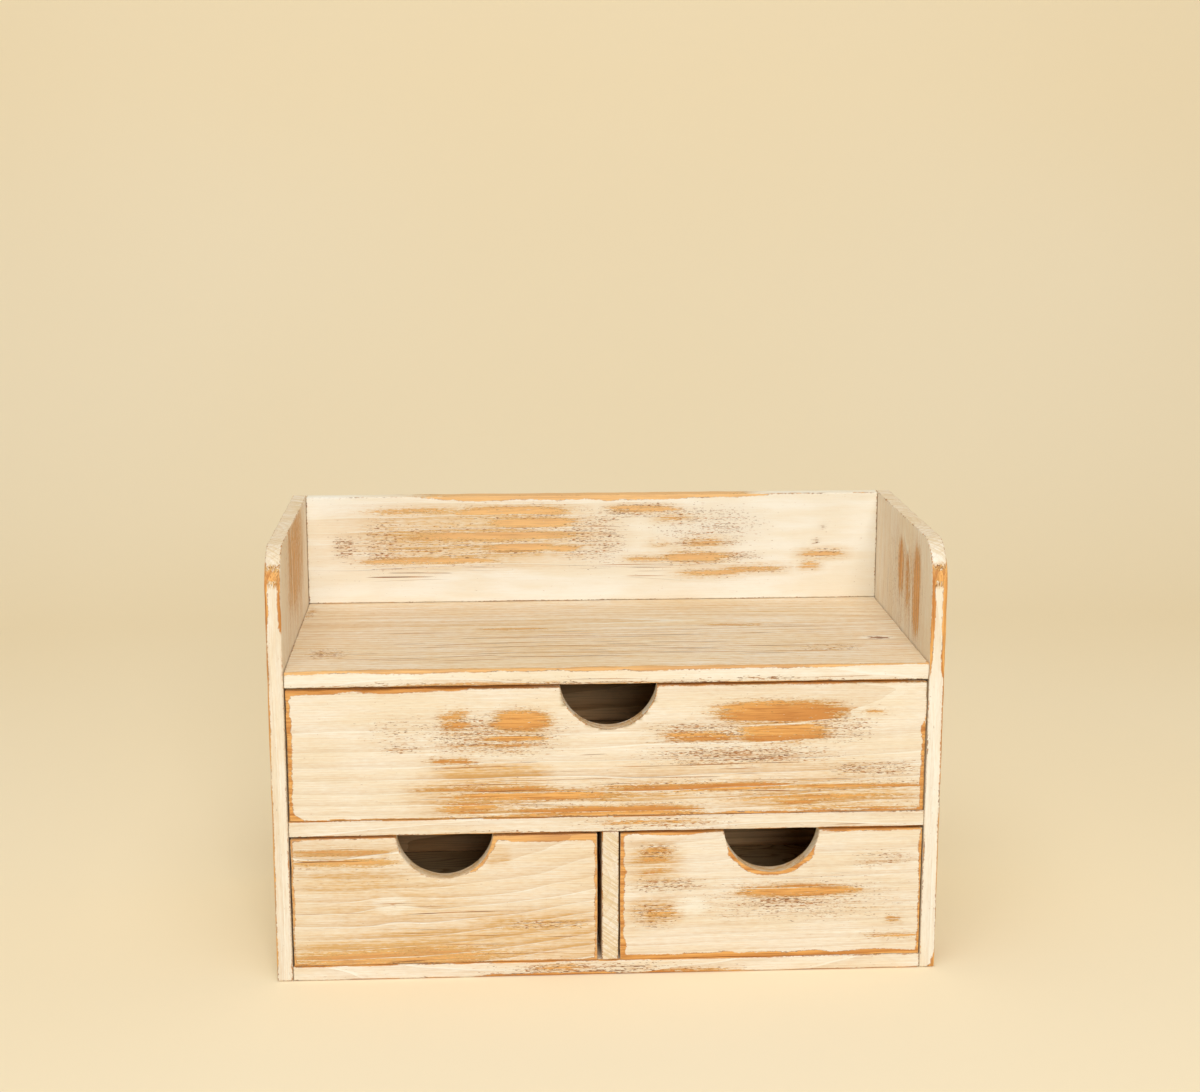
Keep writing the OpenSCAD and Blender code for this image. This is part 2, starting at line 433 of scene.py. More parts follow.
# %% Marks on the wide drawer
note_marks(
    "wide_drawer_front", FRONT,
    strip=[
        (-166, 124, 5, 40, 3), (-126, 159, 44, 3, 2.2), (-70, 159, 30, 3, 0.9),
        (166, 120, 4, 14, 2.6), (166, 97, 4, 8, 2.6), (105, 89, 62, 3, 1.4),
    ],
    bare=[
        (-80, 141, 8, 7, 0.45), (-45, 141, 14, 5, 1), (-48, 131.8, 16, 1.2, 0.9),
        (-60, 126.8, 24, 2.4, 0.36), (-81, 119.6, 12, 1.7, 0.66), (-62, 104.6, 34, 1.4, 0.7),
        (-35, 100.4, 42, 2.3, 0.92), (-73, 94, 15, 3.4, 0.6), (-77, 88, 8, 1.2, 0.7),
        (0, 91.2, 50, 2.6, 0.92), (48, 103.7, 48, 2, 0.92), (99, 94.7, 9, 1, 0.7),
        (134, 102.8, 36, 1.4, 0.8), (112, 97, 54, 1.2, 0.56), (130, 91.2, 38, 1.2, 0.56),
        (90, 143.5, 33, 5.4, 0.95), (134, 143, 10, 1.4, 0.55), (91, 132.4, 22, 5, 0.9),
        (49, 131, 20, 2.6, 0.6),
    ],
    specks=[
        (48, 133, 30, 7, 1), (70, 120.5, 54, 6, 1), (118, 136, 22, 10, 0.9),
        (140, 112, 28, 5, 0.9), (-60, 134, 38, 13, 1), (-106, 136, 22, 10, 0.6),
        (-106, 126.5, 12, 2.4, 0.9),
    ],
    thin=[
        (-61, 113, 34, 6, 1), (14, 98.8, 34, 2.6, 0.85), (-66, 102, 46, 15, 0.7),
        (60, 106, 116, 16, 0.5), (110, 97, 64, 8, 0.75),
    ],
    lines=[
        (-112, 133, 50, 2, 0.9), (26, 114, 36, 2.4, 1), (60, 110, 120, 16, 0.85),
        (-62, 108, 50, 14, 0.9),
    ],
)

# %% [markdown]
# ### The back rail
#
# Bare bands lie in two groups, left and right, with a film of thin paint and many dashes
# around them. The upper edge is rubbed where hands reach over it.

# %% Marks on the back rail
note_marks(
    "back_rail", FRONT,
    strip=[(-15, 232, 66, 4, 3.4), (60, 232, 34, 4, 2.6)],
    bare=[
        (-46, 222.6, 33, 2.2, 0.92), (-104, 223, 28, 2.2, 0.52), (-36, 216, 24, 2.5, 1),
        (-58, 208, 47, 2.3, 0.95), (-44, 201, 17, 2.3, 1), (-18, 200, 9, 1.4, 0.8),
        (-95, 193.6, 40, 2, 0.64), (28, 223.4, 20, 1.4, 0.62), (46, 218.5, 10, 1.1, 0.6),
        (64, 203.4, 12, 1.6, 0.68), (39, 202.8, 6, 0.8, 0.6), (60, 194.3, 18, 2.3, 0.92),
        (32, 193.6, 14, 1, 0.62), (68, 184.4, 18, 1.2, 0.76), (93, 186.8, 18, 1.3, 0.76),
        (134.6, 195.6, 11, 1.2, 0.92), (127, 188.8, 4.5, 1.6, 0.7),
    ],
    specks=[
        (-144.7, 202, 8, 8, 1), (-122, 204, 14, 16, 0.9), (-85, 204, 44, 15, 0.75),
        (0, 207, 22, 18, 0.85), (28, 222.5, 24, 5, 1), (66, 214, 34, 12, 0.8),
        (66, 203, 24, 3, 1), (84, 194.6, 16, 3, 1), (131, 203.4, 3, 2, 1),
        (134, 212, 3, 2, 1),
    ],
    thin=[(-92, 216.5, 38, 2.6, 0.6), (-96, 201.5, 40, 2.4, 0.6), (-72, 208, 74, 18, 0.7)],
    lines=[
        (-60, 188.7, 120, 3, 1), (-109, 184, 27, 3, 1), (-60, 207, 100, 24, 0.55),
        (46, 187, 34, 7, 1),
    ],
)

# %% [markdown]
# ### The shelves and the base
#
# The tray's floor is brushed thin all over, and wax lies in its grain. The three front edges
# are narrow, so the marks there are long and low.

# %% Marks on the shelves and the base
note_marks(
    "top_shelf", TOP,
    strip=[(-20, -79, 110, 5, 3), (90, -79, 70, 5, 1.8)],
    bare=[(-47, 4.6, 18, 2, 0.62), (77, 8, 17, 2, 0.62)],
    specks=[(-147, -44, 12, 11, 1), (-163.5, 46, 2.5, 14, 1), (120, -44, 20, 9, 0.7)],
    thin=[(0, 0, 260, 160, 0.6)],
    lines=[
        (0, -44, 170, 26, 1), (-20, -8, 120, 12, 1), (70, 4, 70, 10, 0.9),
        (30, -20, 190, 50, 0.72),
    ],
)
note_marks(
    "top_shelf", FRONT,
    strip=[(-20, 168.8, 130, 3, 1.7)],
    specks=[(82, 161.5, 18, 2, 1), (0, 160.4, 170, 2, 0.9)],
    bare=[(-60, 161, 50, 1, 0.5)],
    lines=[(0, 161, 170, 3, 0.9)],
)
note_marks(
    "middle_shelf", FRONT,
    bare=[(25, 85, 30, 2, 0.4)],
    specks=[(25, 84, 40, 4, 0.8), (-60, 80.3, 60, 1.6, 0.7)],
    lines=[(0, 82, 170, 3, 0.6)],
)
note_marks(
    "base_board", FRONT,
    strip=[(-31, 0, 28, 3, 2.2)],
    bare=[(-25, 5, 14, 1.5, 0.55), (40, 0.7, 30, 1.6, 0.7)],
    specks=[(-10, 3, 60, 4, 0.9)],
    lines=[(0, 5, 170, 3, 0.6)],
)

# %% [markdown]
# ### The small drawers
#
# The left front has so little paint that its rings show, most of all along the bottom. The
# right one is whiter, with one long patch below its notch and a column of small ones at its left.

# %% Marks on the small drawers
note_marks(
    "left_drawer_front", FRONT,
    strip=[
        (-165, 43, 4, 40, 1.5), (-7, 43, 4, 40, 2), (-33, 78, 28, 4, 3.2), (-86, 9, 80, 4, 1),
        (-62, 66, 9, 10, 2.2),
    ],
    bare=[(-112, 12, 56, 5, 0.56), (-138, 65.2, 27, 2, 0.6), (-140, 70.7, 24, 1.4, 0.5)],
    specks=[(-34, 29, 26, 3, 0.9), (-120, 58, 46, 10, 0.3)],
    thin=[
        (-137, 70.7, 32, 1.8, 0.9), (-137, 65.2, 34, 2.6, 1), (-134, 54, 36, 9, 0.72),
        (-112, 42, 60, 20, 0.6), (-112, 15, 64, 10, 1), (-42, 30, 44, 9, 0.85),
        (-60, 20, 110, 14, 0.8), (-58, 67, 8, 9, 0.7),
    ],
    lines=[(-60, 26, 110, 22, 0.8), (-137, 66, 34, 8, 0.8)],
)
note_marks(
    "right_drawer_front", FRONT,
    strip=[
        (6, 42, 4, 36, 3.2), (166, 42, 4, 38, 1.7), (92, 8.5, 76, 4, 3.2), (32, 79, 14, 3, 1.4),
        (140, 79, 22, 3, 1.2), (86, 58, 26, 10, 2.6),
    ],
    bare=[
        (25, 68.7, 8, 2.4, 0.46), (24, 64.3, 8, 2, 0.52), (24.5, 57, 7, 1.8, 0.54),
        (27.6, 33.7, 9, 1.6, 0.48), (101, 45, 31, 2.6, 0.95), (151.8, 28, 3, 1.4, 0.7),
        (151, 18.8, 16, 1, 0.62),
    ],
    specks=[
        (25, 68, 12, 5, 1), (32, 49.7, 22, 4, 1), (24, 33, 13, 8, 1),
        (94, 38.8, 36, 4.5, 1), (145, 62, 17, 5, 0.8), (100, 40, 58, 13, 0.7),
    ],
    thin=[(24, 62, 19, 14, 0.7), (26, 36, 20, 10, 0.65), (82, 44, 22, 3, 0.6)],
    lines=[(100, 53, 42, 3, 0.8), (60, 46, 52, 2, 0.5)],
)

# %% [markdown]
# ### The side panels
#
# Below the rounded corners a ring of paint is gone from the front edges. The inner faces have
# bands along the grain, which stands upright here.

# %% Marks on the side panels
note_marks(
    "left_side_panel", FRONT,
    strip=[(-171, 205, 6, 12, 2.2), (-174, 120, 2, 100, 0.9)],
    bare=[(-171, 218.5, 6, 1.8, 2.4)],
)
note_marks(
    "right_side_panel", FRONT,
    strip=[(171, 190, 6, 24, 2.2), (175, 130, 3, 50, 0.9), (175, 3, 3, 4, 2.6)],
    bare=[(171, 215, 6, 2.2, 2.4)],
)
note_marks(
    "left_side_panel", RIGHT,
    bare=[(2, 212, 46, 30, 0.46)],
    thin=[(0, 200, 160, 90, 0.36)],
)
note_marks(
    "right_side_panel", LEFT,
    bare=[(0, 203, 7, 15, 0.74), (-42, 198, 9, 24, 0.74), (-20, 200, 9, 20, 0.42)],
    specks=[(-10, 195, 50, 30, 0.6)],
    thin=[(0, 200, 160, 90, 0.28)],
    lines=[(0, 195, 80, 40, 0.7)],
)

# %% [markdown]
# ### The upper edges
#
# The upper edges of the drawers' fronts and of the rail are bare where hands rub over them. In
# the finger notches some thin paint is left.

# %% Marks on the upper edges
FRONTS_AT = -75  # mm, the middle of the fronts' thickness
RAIL_AT = 75  # mm, the middle of the rail's
UPPER_EDGES = {
    # drawer front: the middle of its notch, then how far to each side the middle of the bare
    # edge is, and half the edge's length, all mm
    "wide_drawer_front": (0, 100, 75),
    "left_drawer_front": (-85, 53, 28),
    "right_drawer_front": (85, 53, 28),
}
for front, (notch, beside, half) in UPPER_EDGES.items():
    edges = [(notch + side * beside, FRONTS_AT, half, 20, 1) for side in (-1, 1)]
    note_marks(front, TOP, thin=[(notch, FRONTS_AT, 34, 8, 0.75)], bare=edges)
note_marks("back_rail", TOP, bare=[(-15, RAIL_AT, 74, 9, 1.3), (66, RAIL_AT, 22, 9, 1.1)])
note_marks("left_side_panel", TOP, thin=[(-171, 0, 20, 110, 0.35)])
note_marks("right_side_panel", TOP, thin=[(171, 0, 20, 110, 0.35)])
print("marks chosen by hand:", sum(len(marks) for marks in MARKS.values()))

# %% [markdown]
# ## Marks drawn by lot
#
# The sides, the back and the hidden faces were brushed and rubbed by the same hand. Their marks
# are drawn by lot, from a seed of the board's own name, so that they are the same each time: a
# few groups of bare bands along the grain, each with dashes and thin paint around it. A face
# that shows end grain gets none.

# %% Marks for the other faces
GROUP_AREA = 9000.0  # mm², the size of face for each group of bands
MOST_GROUPS = 7
BANDS = (2, 4)
BAND_HALF_LENGTH = (9.0, 34.0)  # mm
BAND_HALF_WIDTH = (1.2, 3.6)  # mm
BAND_PITCH = 7.0  # mm
BAND_BARE = (0.5, 1)
BAND_SHIFT = 12.0  # mm, the most that a band lies off its group's middle along the grain
AROUND_BANDS = {
    # kind: mm along the grain and band pitches across it from the group's middle, half length
    # and half width in mm, least and most of it
    "specks": (0, 1, 42, 16, 0.5, 1),
    "thin": (0, 1, 60, 22, 0.2, 0.5),
    "lines": (20, -1, 60, 12, 0.4, 1),
}
EDGE_MARK = (40, 5)  # mm, half the length and width of a rubbed stretch of edge
EDGE_RUBBED = (1, 3)  # mm


def marks_by_lot(node, face):
    lot = random.Random(node + face)
    low, high = (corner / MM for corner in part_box(node))
    along = directions(node)[0]
    flat = [axis for axis in range(3) if "xyz"[axis] != face[1]]
    if along not in flat:
        return []
    cross = flat[0] if flat[1] == along else flat[1]
    area = (high[along] - low[along]) * (high[cross] - low[cross])
    marks = []

    def put(kind, far, side, half_far, half_side, amount):
        if flat[0] == along:
            marks.append((kind, far, side, half_far, half_side, amount))
        else:
            marks.append((kind, side, far, half_side, half_far, amount))

    for _ in range(min(MOST_GROUPS, math.ceil(area / GROUP_AREA))):
        far = lot.uniform(low[along], high[along])
        side = lot.uniform(low[cross], high[cross])
        for band in range(lot.randint(*BANDS)):
            half_far = lot.uniform(*BAND_HALF_LENGTH)
            half_side = lot.uniform(*BAND_HALF_WIDTH)
            place = far + lot.uniform(-BAND_SHIFT, BAND_SHIFT)
            beside = side + band * BAND_PITCH
            put("bare", place, beside, half_far, half_side, lot.uniform(*BAND_BARE))
        for kind, (shift, pitches, half_far, half_side, *ends) in AROUND_BANDS.items():
            beside = side + pitches * BAND_PITCH
            put(kind, far + shift, beside, half_far, half_side, lot.uniform(*ends))
        for edge in (low[cross], high[cross]):
            place = lot.uniform(low[along], high[along])
            put("strip", place, edge, *EDGE_MARK, lot.uniform(*EDGE_RUBBED))
    return marks


print("on the back of the back rail:", len(marks_by_lot("back_rail", BACK)))

# %% [markdown]
# ## Reading the marks at a point
#
# A point belongs to the face that its normal looks out of. Of several marks at one point the
# strongest of each kind counts. Around a bare patch the paint is chipped and thin.

# %% From marks to wear
UNMARKED = {"bare": 0.0, "specks": 0.1, "lines": 0.1, "strip": 0.5}  # the strip in mm
FADES = {
    # kind: how many half sizes from its middle a mark ends, and over how many it fades
    "bare": (1.45, 1.05),
    "strip": (1.5, 0.5),
}
OTHER_FADE = (1.5, 1.1)
SQUARENESS = 3  # 2 would make a mark an ellipse, and more makes it squarer
BORDER_GROWTH = 1.15  # the border's size as a share of the patch's
BORDER = 2.8  # mm that the border reaches beyond that
BORDER_AMOUNTS = {"specks": 0.85, "thin": 0.6}  # as shares of the patch's
THINNED = {
    # board: how thin its whole coat is
    "wide_drawer_front": 0.3,
    "right_drawer_front": 0.32,
    "left_drawer_front": 0.44,
    "middle_shelf": 0.32,
    "base_board": 0.26,
    "divider": 0.30,
    "top_shelf": 0.2,
    "left_side_panel": 0.26,
    "right_side_panel": 0.18,
}
FULL_COAT = 0.02  # how thin the coat is on the other boards


def facing(normal):
    """The face, such as "-y", that a normal looks out of."""
    axis = max(range(3), key=lambda i: abs(normal[i]))
    return ("-" if normal[axis] < 0 else "+") + "xyz"[axis]


def share_of(place, mark):
    """How much of a mark there is at a place on its face, from 0 to 1."""
    kind, middle_a, middle_b, half_a, half_b = mark[:5]
    end, fade = FADES.get(kind, OTHER_FADE)
    out_a = abs(place[0] - middle_a) / half_a
    out_b = abs(place[1] - middle_b) / half_b
    if max(out_a, out_b) > end:
        return 0.0
    out = (out_a**SQUARENESS + out_b**SQUARENESS) ** (1 / SQUARENESS)
    return smooth((end - out) / fade)


def with_borders(marks):
    """The marks, and around each rubbed patch a border of chipped and thin paint."""
    borders = []
    for kind, middle_a, middle_b, half_a, half_b, amount in marks:
        if kind == "bare":
            half_a = BORDER_GROWTH * half_a + BORDER
            half_b = BORDER_GROWTH * half_b + BORDER
            for border, share in BORDER_AMOUNTS.items():
                borders.append((border, middle_a, middle_b, half_a, half_b, share * amount))
    return marks + borders


def wear_at(place, marks, thinness):
    """How bare, specked, thin and lined the paint is, and how wide the rubbed strip is, in mm."""
    wear = {**UNMARKED, "thin": thinness}
    for mark in marks:
        wear[mark[0]] = max(wear[mark[0]], mark[5] * share_of(place, mark))
    return wear


print("in a rubbed patch:", wear_at((-45, 141), MARKS["wide_drawer_front", FRONT], FULL_COAT))

# %% [markdown]
# ## Growth rings
#
# The lines on a board's faces are where it cuts the log's year rings, so they come from how far
# a point is from the log's heart, counted in rings. A log leans and bows, which turns straight
# lines into slanted ones and long arches. The heart's place and the ring width are chosen for
# the boards at the front, and drawn by lot with a fixed seed for the others. A knot is the
# root of a branch, and the rings bend around it.

# %% Rings and knots
HEARTS = {
    # board: heart across and below the near face, ring width, all mm, then lean and bow
    "wide_drawer_front": (150.0, 33.5, 5.2, 0.01, 0.6),
    "back_rail": (67.5, 6.0, 7.6, 0.0, 0.0),
    "top_shelf": (20.0, 22.0, 3.4, 0.010, 0.5),
    "left_drawer_front": (84.0, 30.0, 5.6, 0.17, 6.4),
    "right_drawer_front": (80.0, 20.0, 4.5, 0.02, 0.0),
}
KNOTS = {
    # board: the knot's middle along the grain and across it, and its dark core's radius, mm
    "left_drawer_front": (-113.5, 41.7, 1.2),
    "right_drawer_front": (42.4, 37.3, 0.0),
    "top_shelf": (150.6, -24.6, 3.4),
    "left_side_panel": (62.0, 20.0, 1.6),
    "right_side_panel": (118.0, -30.0, 1.6),
}
NO_KNOT = (900.0, 900.0, 0.0)  # far off every board
HEART_RANGES = ((-40, 40), (15, 40), (3.0, 4.6), (-0.03, 0.03), (-3, 3))
BOWED_OVER = 100.0  # mm along the board in which it bows by its bow


def heart_of(node):
    if node in HEARTS:
        return HEARTS[node]
    lot = random.Random(node)
    low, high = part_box(node)
    across = directions(node)[1]
    middle = (low[across] + high[across]) / 2 / MM
    beside, *others = (lot.uniform(*ends) for ends in HEART_RANGES)
    return (middle + beside, *others)


def rings_at(place, heart, near_face):
    across, below, width, lean, bow = heart
    distance = math.hypot(place[1] - across, place[2] - near_face + below)
    return (distance + lean * place[0] + bow * (place[0] / BOWED_OVER) ** 2) / width


print("hearts chosen for", ", ".join(HEARTS))

# %% [markdown]
# ## Storing it all on the board
#
# Five attributes carry what the shaders need on every point, three numbers each: `grain` is
# the place in the board's own directions in millimetres, `figure` the ring count and the place
# from the knot, `wear` the bare, specked and thin shares, `rim` the distance to the nearest
# edge, the width of the rubbed strip there and how much of the end grain shows, and `wax` the
# share of dark lines, how pale the wood is and the size of the knot's dark core.

# %% Attributes
ATTRIBUTES = ("grain", "figure", "wear", "rim", "wax")
PLANK_APART = 400.0  # mm along the grain between two boards, so that no two have the same figure
FLAT_SAWN = {"top_shelf": 2.0}  # how much wider the figure is on a board sawn along the rings
PALE_BOARDS = {"back_rail": 0.5, "top_shelf": 0.35, "left_drawer_front": 0.2}  # paler wood, 0 to 1


def store_attributes(bm, node, edges_near, number):
    axes = directions(node)
    near_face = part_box(node)[0][axes[2]] / MM
    heart = heart_of(node)
    knot = KNOTS.get(node, NO_KNOT)
    widened = FLAT_SAWN.get(node, 1)
    layers = bm.verts.layers.float_vector
    grain, figure, wear, rim, wax = (layers.new(name) for name in ATTRIBUTES)
    marks = {place: with_borders(face_marks) for place, face_marks in MARKS.items()}
    bm.normal_update()
    for vert in bm.verts:
        face = facing(vert.normal)
        if (node, face) not in marks:
            marks[node, face] = with_borders(marks_by_lot(node, face))
        flat = [value / MM for value, letter in zip(vert.co, "xyz") if letter != face[1]]
        worn = wear_at(flat, marks[node, face], THINNED.get(node, FULL_COAT))
        place = [vert.co[axis] / MM for axis in axes]
        rings = rings_at(place, heart, near_face)
        along = place[0] + PLANK_APART * number
        vert[grain] = (along, place[1] / widened, place[2] - near_face)
        vert[figure] = (rings, place[0] - knot[0], place[1] - knot[1])
        vert[wear] = (worn["bare"], worn["specks"], worn["thin"])
        edge_distance = edges_near.find(vert.co)[2] / MM
        vert[rim] = (edge_distance, worn["strip"], abs(vert.normal[axes[0]]))
        vert[wax] = (worn["lines"], PALE_BOARDS.get(node, 0.0), knot[2])


print("attributes on every point:", ", ".join(ATTRIBUTES))

# %% [markdown]
# ## Making the boards
#
# All the boards go through the same steps. Plywood gets less rounding, because its thin layers
# would split.

# %% Worn boards
CORNER_ROUND = 0.7 * MM
PLYWOOD_ROUND = 0.25 * MM
RECORD = frame["record"]
BODY_OF = {node: body for body, nodes in RECORD["behaviour"]["bodies"].items() for node in nodes}
SLOT_OF = {subpart["node"]: subpart["material_slot"] for subpart in RECORD["subparts"]}


def worn_board(node, number):
    bm = merged_copy(node)
    edges = long_sharp_edges(bm)
    edges_near = edge_tree(edges)
    width = PLYWOOD_ROUND if SLOT_OF[node] == "plywood" else CORNER_ROUND
    bmesh.ops.bevel(
        bm, geom=edges, offset=width, offset_type="OFFSET", affect="EDGES",
        segments=2, profile=0.5, material=-1, clamp_overlap=True,
    )
    lay_grid(bm, node)
    wear_down(bm, edges_near, directions(node), number)
    store_attributes(bm, node, edges_near, number)
    board = new_object(node + "_worn", bm)
    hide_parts(node)
    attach(board, BODY_OF[node])
    return board


boards = {node: worn_board(node, number) for number, node in enumerate(BOARD_NODES)}
for node, board in boards.items():
    print(node, len(board.data.polygons), "faces")

# %% [markdown]
# ## What all the wood shares
#
# Pine is pale early wood with darker late wood at the end of each year's ring, and fine fibres
# along the grain. The streaks are noises stretched along the board, each given by its length
# and width in millimetres. The real fibres are a twentieth of a millimetre wide, far too fine
# to show, so they are drawn ten times as coarse.

# %% Streaks and rings
KNOT_REACH = 14.0  # mm over which a knot bends the rings
KNOT_STRETCH = 0.5  # the bend reaches twice as far along the grain
RING_WAVE = (160, 22)  # mm, length and width of the waves in the rings


def three_numbers(add, name):
    """The three numbers that a board carries under a name, each on its own."""
    return add("SeparateXYZ", add("Attribute", attribute_name=name)).outputs


def streaks(add, grain, size, detail=3.0):
    """A noise whose streaks have a length and a width in millimetres."""
    sizes = {"Scale": (size[0], size[1], size[1])}
    stretched = add("Mapping", grain, vector_type="TEXTURE", named=sizes)
    return add("TexNoise", stretched, 1, detail, 0.55)


def year_rings(add, grain):
    """Late wood, the pale line where a ring starts, and the distance from the knot."""
    ring_count, past_knot, beside_knot = three_numbers(add, "figure")
    squeezed = add("Math:MULTIPLY", past_knot, KNOT_STRETCH)
    from_knot = add("CombineXYZ", squeezed, beside_knot)
    knot_distance = add("VectorMath:LENGTH", from_knot).outputs["Value"]
    bulge = add("MapRange", knot_distance, 0, KNOT_REACH, 0.5, 0, **SOFT)
    wobble = add("MapRange", streaks(add, grain, RING_WAVE, 2), 0.3, 0.7, -0.3, 0.3)
    rings = add("Math:ADD", ring_count, wobble)
    rings = add("Math:ADD", rings, bulge)
    phase = add("Math:FRACT", rings)
    late = add("MapRange", phase, 0.35, 0.97, 0, 1, **SOFT)
    line = add("MapRange", phase, 0, 0.11, 1, 0, **SOFT)
    return late, line, knot_distance


print("a knot bends the rings up to", KNOT_REACH / KNOT_STRETCH, "mm along the grain")

# %% [markdown]
# ## Whitewashed pine
#
# The real finish is a chalk paint, thinned and brushed on along the grain, then rubbed with
# sandpaper and sealed with a little dark wax. The eye sees matt cream with the grain faintly
# showing, orange-brown wood where the paint is rubbed through, ragged edges along the fibres,
# and short dark dashes where wax caught in them. Paint and wood both have an IOR of about 1.5
# and are rough, 0.6 to 0.8.
#
# Each step of the finish is a function. What is known at a point of the board is in `here`.

# %% Colours and what a point knows
PAINT = linear("#FBF9EF")
PAINT_SHADE = linear("#F6EEDB")
DRY_PAINT = linear("#E8DECB")
WASHED_WOOD = linear("#D6B87C")
EARLY_WOOD = linear("#EFB466")
LATE_WOOD = linear("#CE8A42")
DEEP_WOOD = linear("#B06C2C")
PALE_WOOD = linear("#F8D59E")
# Browns of the wax, also used for the painted shadow along the paint's torn borders
WAX_AND_EDGE_SHADOW_BROWN = linear("#7D4A1E")
WAX_AND_EDGE_SHADOW_TAN = linear("#B97835")
FIBRE = (40, 0.5)  # mm long and wide, as for all the streaks below
BLOTCH = (18, 1.0)
MOTTLE = (5, 0.9)


def painted_point(add):
    here = SimpleNamespace(grain=add("Attribute", attribute_name="grain"))
    here.streaks = partial(streaks, add, here.grain)
    here.late, here.line, here.knot_distance = year_rings(add, here.grain)
    here.bare_share, here.specks, here.thinness = three_numbers(add, "wear")
    here.edge_distance, here.strip, here.end_grain = three_numbers(add, "rim")
    here.line_share, here.paleness, here.core_radius = three_numbers(add, "wax")
    here.fibre = here.streaks(FIBRE)
    here.blotch = here.streaks(BLOTCH)
    here.mottle = here.streaks(MOTTLE)
    return here


print("the fibres are drawn", FIBRE[1], "mm wide")

# %% [markdown]
# ### The pine itself
#
# Darker fibres and resin-rich streaks lie over the rings, and some boards are paler.

# %% Bare pine


def bare_pine(add, here):
    fibre_share = add("MapRange", here.fibre, 0.45, 0.65, 0, 0.7, **SOFT)
    deep_share = add("MapRange", here.blotch, 0.46, 0.66, 0, 0.6, **SOFT)
    wood = add("Mix", here.late, EARLY_WOOD, LATE_WOOD, **COLOUR)
    wood = add("Mix", fibre_share, wood, LATE_WOOD, **COLOUR)
    wood = add("Mix", deep_share, wood, DEEP_WOOD, **COLOUR)
    return add("Mix", here.paleness, wood, PALE_WOOD, **COLOUR)


print("most of the wood's colour is", EARLY_WOOD[:3])

# %% [markdown]
# ### Where paint is missing
#
# Three things take the paint off: rubbing, dry brushing and the wear of the edges. Each of
# these functions gives a value that passes zero at the border of what it took off, so that the
# border can be found again. The flakes of a dry brush are so small that wax fills them, so
# only the other two lay the wood bare.

# %% Missing paint
STROKE = (70, 2.6)
SCRATCH = (30, 0.9)
FRAY = (2.6, 0.45)
FLECK = (4.0, 0.7)
FLAKE = (2.6, 0.4)
FLAKE_ROW = (22, 1.3)
EDGE_WAVE = (26, 10)
EDGE_CHIP = (1.7, 0.9)
EDGE_CHIP_DEPTH = 0.35  # mm


def rubbed_off(add, here):
    """Rubbing goes along the fibres, and spares the hollow where a ring starts."""
    hold = add("Math:MULTIPLY", here.streaks(STROKE), 0.42)
    hold = add("Math:MULTIPLY_ADD", here.streaks(SCRATCH), 0.5, hold)
    hold = add("Math:MULTIPLY_ADD", here.streaks(FRAY), 0.55, hold)
    hold = add("MapRange", hold, 0.61, 0.86, 0.04, 0.96)
    hold = add("Math:MULTIPLY_ADD", here.line, 1.1, hold)
    flecks = add("MapRange", here.streaks(FLECK, 2), 0.63, 0.72, 0, 1.2)
    hold = add("Math:ADD", flecks, hold)
    lack = add("Math:MULTIPLY_ADD", here.bare_share, 1.25, -0.02)
    return add("Math:SUBTRACT", lack, hold)


def brushed_dry(add, here):
    """A dry brush skips small flakes, in rows along the fibres."""
    flakes = here.streaks(FLAKE, 2)
    rows = add("MapRange", here.streaks(FLAKE_ROW, 2), 0.42, 0.58, 0.1, 0, **SOFT)
    gaps = add("Math:SUBTRACT", flakes, rows)
    needed = add("MapRange", here.specks, 0, 1, 0.72, 0.47)
    return add("Math:SUBTRACT", gaps, needed)


def worn_from_edge(add, here):
    """The strip along an edge, in millimetres inwards from its ragged border."""
    slow = add("MapRange", here.streaks(EDGE_WAVE, 2), 0.35, 0.65, 0.55, 1.15)
    chips = here.streaks(EDGE_CHIP, 3)
    chips = add("MapRange", chips, 0.3, 0.7, -EDGE_CHIP_DEPTH, EDGE_CHIP_DEPTH)
    reach = add("Math:MULTIPLY_ADD", here.strip, slow, chips)
    return add("Math:SUBTRACT", reach, here.edge_distance)


def find_missing_paint(add, here):
    here.lack = rubbed_off(add, here)
    here.reach = worn_from_edge(add, here)
    rubbed = add("MapRange", here.lack, -0.03, 0.22, 0, 1)
    worn = add("MapRange", here.reach, 0, 0.25, 0, 1, **SOFT)
    here.bare = add("Math:MAXIMUM", rubbed, worn)
    here.painted = add("Math:SUBTRACT", 1, here.bare)


print("rubbing leaves streaks", STROKE[0], "mm long")

# %% [markdown]
# ### How the paint covers
#
# It lies thinner over late wood and in the brush's streaks, is uneven where the brush was dry,
# and is thicker where a ring starts and on a knot. Under thin paint the wood looks washed out.

# %% The coat of paint
BRUSH = (110, 0.7)
CLOUD = (60, 12)


